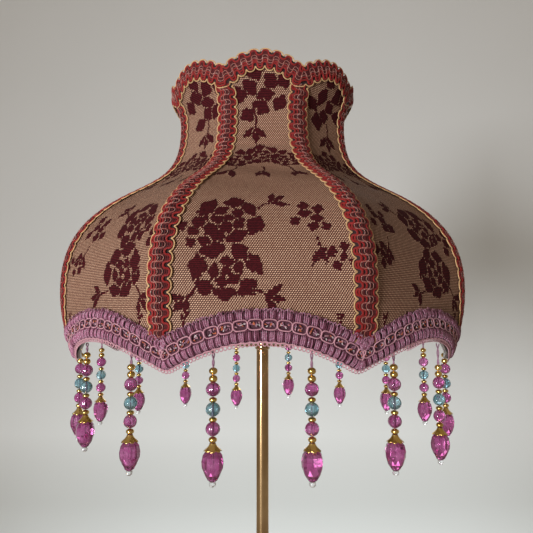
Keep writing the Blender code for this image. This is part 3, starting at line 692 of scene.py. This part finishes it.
# ---- fabric -------------------------------------------------------------------------------------
def panel_points(panel, u, v, low, high, offset):
    """Points, normals and flat places of a panel's cloth: u from -1 to 1 across, v from 0 to 1 up."""
    azimuth = 2 * HALF * panel + u * HALF
    bottom, top = length_at(hem_z(azimuth) + low), length_at(crown_z(azimuth) + high)
    length = bottom + v * (top - bottom)
    z = height_at(length)
    points, out = skin_frame(azimuth, z, panel, 0.5)
    radius = np.hypot(points[..., 0], points[..., 1])
    places = np.stack([radius * np.sin(u * HALF), length], -1)
    edge = np.sqrt(np.clip(1 - u * u, 0, 1))
    pull = 0.35 * np.sin(length / 5.5 + 2.0 * u + panel) * np.exp(-((z - 384) / 22) ** 2) * edge
    return points + out * (offset + pull)[..., None], out, places


PANEL_INSET = 0.996  # keeps neighbouring panels apart at the ribs
MOTIF_RISE = 0.22


def make_panels():
    columns, rows = ((150, 330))
    for panel in range(PANELS):
        u, v = np.meshgrid(np.linspace(-1, 1, columns), np.linspace(0, 1, rows))
        points, out, places = panel_points(panel, u * PANEL_INSET, v, -0.5, 0.8, FABRIC_OUT)
        motif = motif_values(places[..., 0], places[..., 1], panel_lace(panel))
        face = points + out * (MOTIF_RISE * motif)[..., None]
        build = Build()
        build.grid(face, 0, places)
        obj = build.make(f"lace_panel_{panel + 1}", [LACE], "shade", "lace")
        values = obj.data.attributes.new("motif", "FLOAT", "POINT")
        values.data.foreach_set("value", motif.ravel())
        thick = obj.modifiers.new("thickness", "SOLIDIFY")
        thick.thickness = 0.5 * MM
        thick.offset = -1
        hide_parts(f"panel_{panel + 1}")


def make_lining():
    build = Build()
    for panel in range(PANELS):
        u, v = np.meshgrid(np.linspace(-1, 1, 33), np.linspace(0, 1, 120))
        points, out, places = panel_points(panel, u, v, 1.2, -2.0, LINING_OUT)
        gather = 0.28 * np.sin(u * 38) * smooth_step((places[..., 1] - 190) / 40)
        points = points + out * gather[..., None]
        build.grid(points[:, ::-1], 0, places[:, ::-1])
    lining = build.make("lining_cloth", [LINING], "shade", "lining")
    thick = lining.modifiers.new("thickness", "SOLIDIFY")
    thick.thickness = 0.4 * MM
    thick.offset = 0
    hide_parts("lining")


# ---- trims --------------------------------------------------------------------------------------
class RibStrip:
    """Places on a strip that lies along a rib and folds over it: along the rib, across it, and out."""

    def __init__(self, rib):
        self.azimuth = (2 * rib + 1) * HALF
        self.start = float(length_at(hem_z(self.azimuth) + 14.5))
        self.length = float(length_at(crown_z(self.azimuth) - 9.5)) - self.start

    def __call__(self, along, side, height):
        z = height_at(self.start + along)
        azimuth = self.azimuth + side / (rib_radius(z) + 2)
        points, out = skin_frame(azimuth, z, None, 2.6)
        return points + out * np.asarray(height)[..., None], out


class Band:
    """Places on a band round the shade: along its base line, across (upwards) and out."""

    def __init__(self, base_z, base_shift):
        self.base = lambda azimuth: base_z(azimuth) + base_shift
        azimuth = np.linspace(0, TAU, 4001)
        p = skin(azimuth, self.base(azimuth))
        run = np.concatenate([[0], np.cumsum(np.linalg.norm(np.diff(p, axis=0), axis=1))])
        self.table = run, azimuth
        self.length = float(run[-1])

    def __call__(self, along, side, height):
        azimuth = np.interp(along % self.length, *self.table)
        z = self.base(azimuth)
        step = 0.012
        slope = (self.base(azimuth + step) - self.base(azimuth - step)) / (2 * step * rib_radius(z))
        scale = np.sqrt(1 + slope * slope)
        z = z + side / scale
        azimuth = azimuth - side * slope / scale / rib_radius(z)
        points, out = skin_frame(azimuth, z, None, 2.6)
        return points + out * np.asarray(height)[..., None], out


PERIOD = 7.2  # of the braid's waves
BRAID_SWING = 1.75  # of each wave to either side
# The maroon cords (material 1) lie at the centre and on the plus side: their darker colour is partly a darker
# yarn and partly painted shade, as on the side of a fold turned from the light.
BRAID_CORDS = [  # side, radius, height out and material
    (-4.05, 0.72, 1.00, 0), (-2.45, 0.62, 0.80, 0), (-1.25, 0.26, 1.15, 3), (-0.30, 0.50, 0.70, 1),
    (0.65, 0.26, 1.15, 3), (1.75, 0.58, 0.70, 1), (2.90, 0.60, 0.80, 1), (4.15, 0.68, 1.00, 0),
]
BRAID_PAINTS = [RED, MAROON_AND_SHADE, GOLD_CORD, PINK_CORD, TAPE_AND_SHADE]


def lay_cord(build, strip, along, side, height, radius, kind, closed=False, sides=6, flat=0.8):
    points, out = strip(along, side, height)
    build.cord(points, radius, kind, out, sides, flat, closed)


def weave_braid(build, strip, base_out, closed):
    """Parallel waves of yarn on a dark tape, with a scalloped gold cord along each edge. The tape's
    near-black colour is partly painted shade in the gaps between the cords.
    """
    periods = round(strip.length / PERIOD) if closed else int(strip.length / PERIOD)
    period = strip.length / periods
    steps = 14
    t = np.arange(periods * steps + (0 if closed else 1)) / steps
    for side, radius, height, kind in BRAID_CORDS:
        wave = BRAID_SWING * np.sin(TAU * t)
        lean = -0.55 * np.sin(2 * TAU * t)
        lay_cord(build, strip, t * period + lean, side + wave, base_out + height, radius, kind, closed)
    for edge in (-1, 1):
        turn = TAU * t + edge * math.pi / 2
        bulge = np.abs(np.sin(turn / 2)) ** 0.75
        along = (TAU * t - 0.45 * np.sin(turn)) / TAU * period
        side, height = edge * (4.4 + 2.6 * bulge), base_out + 0.75 + 0.15 * bulge
        lay_cord(build, strip, along, side, height, 0.42, 2, closed, 6, 1.0)
    u = np.linspace(0, strip.length, periods * 3 + 1)
    if closed:
        u = u[:-1]
    across_tape = np.array([-5.4, -5.0, -2.5, 0, 2.5, 5.0, 5.4])
    lift = base_out + np.array([0.0, 0.35, 0.45, 0.5, 0.45, 0.35, 0.0])
    a, b = np.meshgrid(u, across_tape, indexing="ij")
    points, _ = strip(a, b, np.broadcast_to(lift, a.shape))
    build.grid(points, 4, np.stack([a, b], -1), close_v=closed)


def make_rib_braids():
    for rib in range(PANELS):
        build = Build()
        weave_braid(build, RibStrip(rib), BRAID_OUT, False)
        obj = build.make(f"rib_braid_woven_{rib + 1}", BRAID_PAINTS, "shade", "red_braid")
        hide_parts(f"rib_braid_{rib + 1}")


def make_crown_braid():
    build = Build()
    weave_braid(build, Band(crown_z, -4.6), BRAID_OUT + 0.2, True)
    obj = build.make("crown_braid_woven", BRAID_PAINTS, "shade", "red_braid")
    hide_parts("crown_braid")


GIMP_PAINTS = [MAUVE, MAUVE_DARK, LINK, GIMP_TAPE_AND_SHADE, SPARK, COPPER]
LINK_MIDDLE = 10.8  # up the gimp, of its chain of links


def gimp_loops(build, band, rng):
    """Two rows of upright loops, with every fourth one sunk and given the dark plum yarn as painted shade."""
    count = round(band.length / 0.95)
    pitch = band.length / count
    share = np.linspace(0, 1, 6)
    for row_low, row_high, rise in ((2.2, 8.2, 1.5), (13.3, 18.4, 1.6)):
        for i in range(count):
            sunk_and_shaded = i % 4 == 3
            squeeze = (0.5 - (i % 4) / 3.0) * (0 if sunk_and_shaded else 0.45)
            lean = rng.normal(0, 0.22)
            side = row_low + (row_high - row_low) * share + rng.normal(0, 0.12)
            along = i * pitch + squeeze * (1 - np.sin(math.pi * share)) + lean * (share - 0.5)
            swell = (0.45 if sunk_and_shaded else 1.0) * rise * np.sin(math.pi * share) ** 0.6
            height = GIMP_OUT + 0.4 + swell + rng.normal(0, 0.12)
            # Material 1, the dark plum yarn, is painted shade on the sunk loops; about one other loop in
            # eight takes it at random.
            lay_cord(build, band, along, side, height, 0.46, int(sunk_and_shaded or rng.random() < 0.12), False, 5, 0.9)


def gimp_fringe(build, band, rng):
    """Loose loops along the top edge."""
    for i in range(round(band.length / 1.5)):
        centre = (i + rng.uniform(-0.25, 0.25)) * 1.5
        turn = np.linspace(0, math.pi, 7)
        reach, width = rng.uniform(1.7, 2.8), rng.uniform(0.6, 1.0)
        side = 17.0 + reach * np.sin(turn)
        along = centre + width * np.cos(turn) + rng.normal(0, 0.3) * np.sin(turn)
        height = GIMP_OUT + 0.7 + rng.uniform(0, 0.7) + 0.4 * np.sin(turn)
        lay_cord(build, band, along, side, height, 0.30, int(rng.random() < 0.3), False, 4)


def gimp_links(build, band, rng):
    """A chain of rounded links, each filled with flecks of yarn."""
    links = round(band.length / 7.0)
    step = band.length / links
    turn = np.linspace(0, TAU, 21)[:-1]
    across_link, up_link = (np.sign(f) * np.abs(f) ** 0.62 for f in (np.cos(turn), np.sin(turn)))
    for i in range(links):
        c = (i + 0.5) * step
        for grow, radius, height, kind in ((1.0, 0.32, 1.45, 2), (0.84, 0.30, 1.15, 1)):
            along = c + across_link * step * 0.49 * grow
            side = LINK_MIDDLE + up_link * 2.65 * grow
            lay_cord(build, band, along, side, GIMP_OUT + height + 0 * turn, radius, kind, True, 5, 1.0)
        for kind in (0, 2, 0, 0, 2, 0, 4, 5, 5, 4, 5):
            a, b, size = rng.uniform(-2.3, 2.3), rng.uniform(-1.4, 1.4), rng.uniform(0.6, 1.0)
            slant = rng.uniform(0, math.pi)
            reach = np.linspace(-size, size, 4)
            height = GIMP_OUT + 1.0 + rng.uniform(0, 0.35) + np.zeros(4)
            along, side = c + a + reach * math.cos(slant), LINK_MIDDLE + b + reach * math.sin(slant)
            lay_cord(build, band, along, side, height, 0.34, kind, False, 4)


def gimp_edges(build, band):
    """Three cords along the gimp, the picot rings on its lower edge, and the dark tape under it all, whose
    colour is partly painted shade in the gaps between the tufts.
    """
    steps = round(band.length / 1.6)
    around = np.arange(steps) * (band.length / steps)
    for side, kind in ((8.1, 1), (13.5, 1), (2.1, 2)):
        wave = 0.3 * np.sin(np.arange(steps) * 2.1)
        lay_cord(build, band, around, side + wave, GIMP_OUT + 0.8 + 0 * around, 0.42, kind, True, 5)
    picots = round(band.length / 2.3)
    ring = np.linspace(0, TAU, 10)[:-1]
    for i in range(picots):
        along = (i + 0.5) * band.length / picots + 0.95 * np.cos(ring)
        side = 1.1 + 1.0 * np.sin(ring)
        lay_cord(build, band, along, side, GIMP_OUT + 0.55 + 0 * ring, 0.30, 2, True, 4, 1.0)
    u = np.linspace(0, band.length, 641)[:-1]
    across_tape = np.array([1.6, 1.9, 5, 9.5, 14, 18.2, 18.6])
    a, b = np.meshgrid(u, across_tape, indexing="ij")
    lift = GIMP_OUT + np.array([-0.9, 0.1, 0.25, 0.3, 0.25, 0.1, -0.4])
    points, _ = band(a, b, np.broadcast_to(lift, a.shape))
    build.grid(points, 3, np.stack([a, b], -1), close_v=True)


def make_gimp():
    rng = np.random.default_rng(7)
    band = Band(hem_z, -2.6)
    tufts = Build()
    gimp_loops(tufts, band, rng)
    gimp_fringe(tufts, band, rng)
    tufts.make("gimp_tufts", GIMP_PAINTS, "shade", "mauve_gimp")
    chain = Build()
    gimp_links(chain, band, rng)
    gimp_edges(chain, band)
    links_obj = chain.make("gimp_chain", GIMP_PAINTS, "shade", "mauve_gimp")
    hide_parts("hem_gimp")


# ---- bead drops ---------------------------------------------------------------------------------
BEADS_LENGTH = 62.6  # of a drop, below its thread


def drop_build(thread):
    """One drop, hung from the origin: thread, gilt spacers, round beads, cap, cut oval and clear tip."""
    build = Build()
    twist = np.linspace(0, 1, 14)
    for side in (-1, 1):
        swing = TAU * 1.2 * twist + (math.pi if side > 0 else 0)
        reach = 0.42 + 0.5 * (1 - twist) ** 3
        line = np.stack([reach * np.cos(swing), reach * np.sin(swing), 2.6 - (thread + 3.0) * twist], -1)
        build.cord(line, 0.42, 0, sides=6)
    z = -thread
    build.cord([(0, 0, z + 0.5), (0, 0, z - 20), (0, 0, z - 40), (0, 0, z - 60.5)], 0.33, 0, sides=6)
    spacers = (1.8, 2.4, 2.0), (6.0, 2.4, 2.15), (17.2, 2.2, 1.5), (27.8, 2.25, 1.5), (38.4, 2.35, 1.7)
    for centre, radius, height in spacers:
        build.ball((0, 0, z - centre), radius, 1, height, 18, 11)
    for centre, kind in ((11.6, 2), (22.3, 3), (32.7, 2)):
        build.ball((0, 0, z - centre), 4.0, kind, 3.85, 48, 14, 8)
    build_cap(build, z - 40.2)
    build_oval(build, z - 43.2)
    build.ball((0, 0, z - 61.6), 1.95, 5, 1.75, 14, 9)
    return build


def build_cap(build, top):
    """A stamped cap: a narrow neck that flares into eight ruffled petals on the oval's shoulder."""
    turn = TAU * np.arange(64) / 64
    lobes = np.abs(np.cos(4 * turn))
    rows = []
    outer, inner = [(t, 0.0) for t in np.linspace(0, 1, 9)], [(t, 0.35) for t in (1.0, 0.6, 0.0)]
    for t, inside in outer + inner:
        r = (1.7 + 2.75 * t ** 1.35 - inside) * (1 + 0.13 * t * lobes)
        z = top - inside * 0.3 - 3.4 * t ** 0.85 - 0.75 * t * lobes
        rows.append(np.stack([r * np.cos(turn), r * np.sin(turn), z], -1))
    build.grid(np.array(rows)[:, ::-1], 1, close_u=True)


def build_oval(build, top):
    """A cut oval bead: long upright facets, and a row of diamonds where it tapers."""
    rows = [(0.9, 0, 0), (3.5, 0.7, 0), (5.3, 3.0, 0), (6.05, 6.6, 0), (5.75, 9.8, 0), (4.3, 13.6, 0.5),
            (2.6, 16.4, 0), (1.0, 17.6, 0)]
    sides = 9
    points = []
    for r, drop, shift in rows:
        turn = TAU * (np.arange(sides) + shift) / sides
        points.append(np.stack([r * np.cos(turn), r * np.sin(turn), top - drop + 0 * turn], -1))
    build.grid(np.array(points)[:, ::-1], 4, close_u=True)


def make_drops():
    paints = [THREAD, GILT, MAGENTA, TEAL, MAGENTA_CUT, CLEAR]
    joints = {j["child"]: j for j in frame["record"]["behaviour"]["joints"]}
    for drop in range(2 * PANELS):
        name = f"bead_drop_{drop + 1:02d}"
        pivot = np.array(joints[name]["pos_m"]) / MM
        low, high = node_box(name)
        thread = (high[2] - low[2]) - BEADS_LENGTH
        build = drop_build(thread)
        azimuth = math.atan2(pivot[0], -pivot[1])
        turn = Matrix.Rotation(azimuth + 0.7 * drop, 3, "Z")
        build.points = [p @ np.array(turn).T + pivot for p in build.points]
        obj = build.make(f"drop_strung_{drop + 1:02d}", paints, name, "beads", flat_kinds=(4,))
        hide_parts(name)


# ---- brass, lampholder and bulb -----------------------------------------------------------------
def arc(cx, cz, r, start, end, steps=8):
    """Profile points on an arc, angles in degrees."""
    angles = [math.radians(a) for a in np.linspace(start, end, steps)]
    return [(cx + r * math.cos(a), cz + r * math.sin(a)) for a in angles]


def turned_piece(name, profile, paint, body, slot, node, columns, closed=False, centre=(0, 0, 0)):
    build = Build()
    build.turned(profile, 0, columns, closed, centre)
    obj = build.make(name, [paint], body, slot)
    obj.data.set_sharp_from_angle(angle=math.radians(35))
    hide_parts(node)


def make_foot():
    low, high = node_box("base_shell")
    r, z0, z1 = high[0], low[2], high[2]
    turned_piece("foot_spun", [
        (5.1, z1), (8.5, z1), *arc(8.5, z1 - 1.5, 1.5, 90, 0, 5), (10.6, z1 - 3.5), (11.8, z1 - 7),
        (14.4, z1 - 12),
        (18.5, z1 - 16.4), (24.5, z1 - 20.4), (33, z1 - 24.2), (43, z1 - 27.2), (54, z1 - 29.4),
        (64, z1 - 31.2),
        (68.6, z1 - 31.8), (69.6, z1 - 32.6), (69.9, z1 - 34.4), (71.2, z1 - 35.1), (73.0, z1 - 35.6),
        *arc(r - 2.2, z1 - 38.0, 2.2, 80, 0, 6), (r, z0 + 1.0), (r - 0.4, z0), (r - 1.6, z0),
        (r - 1.6, z0 + 8),
        (66, z1 - 34.5), (40, z1 - 29), (20, z1 - 19), (10, z1 - 6), (5.1, z1 - 2)],
        BRASS_SPUN, "stand", "brass", "base_shell", 128, True)
    z = node_box("base_collar")[1][2]
    turned_piece("collar_turned", [
        (5.1, z), (6.5, z), *arc(6.3, z - 1.7, 0.9, 60, -60, 6), (6.1, z - 4), (6.1, z - 7.2), (6.9, z - 8.4),
        *arc(6.2, z - 12.0, 3.2, 60, -60, 12), (6.5, z - 16.4), (8.4, z - 17.2),
        *arc(8.8, z - 19.6, 1.4, 70, -80, 8),
        (9.0, z - 21.6), (5.1, z - 21.6)], BRASS, "stand", "brass", "base_collar", 64, True)
    felt = [(0.02, 2), (72.6, 2), (73, 1.6), (73, 0.3), (72.7, 0), (0.02, 0)]
    turned_piece("felt_disc", felt, FELT, "stand", "felt", "felt_pad", 96)


def make_stem():
    low, high = node_box("stem_tube")
    seat = high[2] - 11.1
    turned_piece("stem_rod", [
        (4.75, high[2]), (4.75, seat), (5.8, seat), (6.0, seat - 0.25), (5.9, seat - 0.8), (5.2, seat - 1.5),
        (4.75, seat - 1.9), (4.75, 180), (4.75, 120), (4.75, low[2]), (3.4, low[2]), (3.4, high[2])],
        BRASS, "stand", "brass", "stem_tube", 48, True)


def make_lampholder():
    z = node_box("socket_cap")[0][2]
    turned_piece("holder_cap", [
        (5.1, z), (7.6, z), (7.9, z + 0.5), (7.9, z + 5.6), (8.6, z + 6.6), (11, z + 8), (13.6, z + 9.8),
        (15.4, z + 12), (16.3, z + 14), (16.4, z + 15.4), (15.6, z + 15.4), (14.4, z + 12.4),
        (10.2, z + 9.3), (5.1, z + 9)][::-1],
        BRASS, "stand", "brass", "socket_cap", 64, True)
    ripples = [(16.25 + 0.12 * math.cos(a), z + 20 + 1.25 * a / TAU) for a in np.linspace(0, TAU * 8, 65)]
    turned_piece("holder_shell", [
        (16.9, z + 62), (17.0, z + 61.2), (16.9, z + 60.5), (16.3, z + 60), (16.2, z + 59), (16.2, z + 33),
        *ripples[::-1], (16.2, z + 18.5), (16.7, z + 17.6), (16.7, z + 15.9), (15.7, z + 15.9),
        (15.7, z + 62)],
        BRASS, "stand", "brass", "socket_shell", 64, True)


def make_bulb():
    low, high = node_box("bulb_glass")
    z0, z1 = low[2], high[2]
    outer = catmull_rom([(0.05, z1), (11, z1 - 2), (20.5, z1 - 8.5), (26.8, z1 - 19), (28.8, z1 - 30),
                         (27.6, z1 - 40), (23, z1 - 52), (17.5, z1 - 63), (14.6, z1 - 72), (13.6, z0)], 5)
    wall = 0.8
    inner = [np.maximum(outer[:, 0] - wall, 0.05), outer[:, 1] - wall * (outer[:, 1] > z1 - 20)]
    inner = np.stack(inner, -1)[::-1]
    paint = Paint("bulb_frosted", 0.35, IOR=1.45, Transmission_Weight=0.55)
    cloud = paint.noise(300, 3)
    paint.colour(paint.mix(cloud, (0.93, 0.91, 0.86), (0.88, 0.86, 0.80)))
    paint.rough(cloud, 0.3, 0.5)
    profile = np.vstack([outer, inner])
    turned_piece("bulb_envelope", profile, paint.material, "stand", "glass", "bulb_glass", 64)


def make_knob():
    low, high = node_box("switch_knob")
    z = (low[2] + high[2]) / 2
    build = Build()
    turn = TAU * np.arange(48) / 48
    flutes = 1 - 0.07 * (np.cos(12 * turn) > 0.2)
    rows = []
    profile = [(0.05, 32.5, 0), (3.6, 32.5, 0), (4.6, 31.9, 0.5), (5.15, 30.8, 1), (5.15, 22.2, 1),
               (4.6, 21.0, 0.6), (2.4, 20.3, 0), (1.9, 19.8, 0), (1.9, 8.2, 0), (0.05, 8.2, 0)]
    for r, out, fluted in profile:
        reach = r * (1 + (flutes - 1) * fluted)
        rows.append(np.stack([reach * np.cos(turn), -out + 0 * turn, z + reach * np.sin(turn)], -1))
    build.grid(np.array(rows)[:, ::-1], 0, close_u=True)
    knob = build.make("knob_fluted", [PHENOLIC], "switch_knob", "phenolic")
    knob.data.set_sharp_from_angle(angle=math.radians(35))
    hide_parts("switch_knob")


def make_harp():
    low, high = node_box("harp")
    z = low[2]
    sleeve_low, sleeve_high = node_box("harp_sleeve_right")
    x = (sleeve_low[0] + sleeve_high[0]) / 2
    side = [(x, z), (x, z + 12), (x, z + 21), (32, z + 31), (42, z + 46), (49.5, z + 64), (51, z + 83),
            (47.5, z + 102),
            (40, z + 119), (30, z + 133), (17, z + 143), (6, z + 147)]
    right = catmull_rom(side, 6)
    line = np.vstack([right, right[::-1] * [-1, 1]])
    build = Build()
    wire = np.stack([line[:, 0], 0 * line[:, 0], line[:, 1]], -1)
    build.cord(wire, 2.0, 0, out=np.array([0.0, 1.0, 0.0]), sides=16)
    hub = node_box("spider_fitter")[0][2]
    top = z + 147.5
    build.turned([(0.05, high[2]), (2.6, high[2]), (3.0, high[2] - 0.5), (3.0, hub - 0.3), (6.3, hub - 0.3),
                  (6.5, hub - 0.8), (6.5, hub - 3), (5.6, hub - 4.2), (4.0, top), (0.05, top - 1)], 0, 48)
    harp = build.make("harp_wire", [BRASS], "stand", "brass")
    harp.data.set_sharp_from_angle(angle=math.radians(40))
    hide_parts("harp")
    for name in ("harp_sleeve_left", "harp_sleeve_right"):
        low, high = node_box(name)
        z = low[2]
        turns = TAU * 10
        knurl = [(4.3 + 0.12 * math.cos(a), z + 3 + 8 * a / turns) for a in np.linspace(0, turns, 61)]
        turned_piece(name + "_knurled", [
            (2.6, z + 14), (3.6, z + 14), (4.3, z + 13), (4.4, z + 11.5), *knurl[::-1], (4.4, z + 2),
            (4.2, z + 0.6),
            (3.6, z), (2.6, z)], BRASS, name, "brass", name, 40, True, ((low[0] + high[0]) / 2, 0, 0))


def make_finial():
    z = node_box("finial")[0][2]
    bud = catmull_rom([(1.6, z + 27), (4.6, z + 25), (7.2, z + 21.5), (7.8, z + 17.5), (6.4, z + 13.5),
                       (3.9, z + 10.5)], 6)
    turned_piece("finial_turned", [
        (0.05, z + 31), *arc(0.3, z + 29.2, 1.9, 70, -50, 6), *map(tuple, bud), (4.2, z + 9.2),
        (4.4, z + 8.5),
        (6.0, z + 6.6), (7.4, z + 5.2), (8.1, z + 3.4), (8.2, z + 2.0), (7.8, z), (3.4, z), (3.4, z + 13.5),
        (0.05, z + 13.5)],
        BRASS, "finial", "brass", "finial", 56)


def repaint_nodes():
    """The CAD nodes whose shape is right as it stands."""
    paints = {
        "wire_frame": STEEL, "spider_fitter": STEEL, "harp_saddle": BRASS, "base_weight": IRON,
        "base_locknut": STEEL, "cord_grommet": RUBBER, "internal_lead": CABLE, "socket_liner": CARD,
        "socket_body": PHENOLIC,
        "screw_shell": ALUMINIUM, "terminal_screw_neutral": STEEL, "terminal_screw_live": BRASS,
        "bulb_cap": ALUMINIUM,
    }
    for name, paint in paints.items():
        for material_slot in frame["nodes"][name].material_slots:
            material_slot.material = paint


make_camera()
make_stage()
make_panels()
make_lining()
make_rib_braids()
make_crown_braid()
make_gimp()
make_drops()
make_foot()
make_stem()
make_lampholder()
make_bulb()
make_knob()
make_harp()
make_finial()
repaint_nodes()
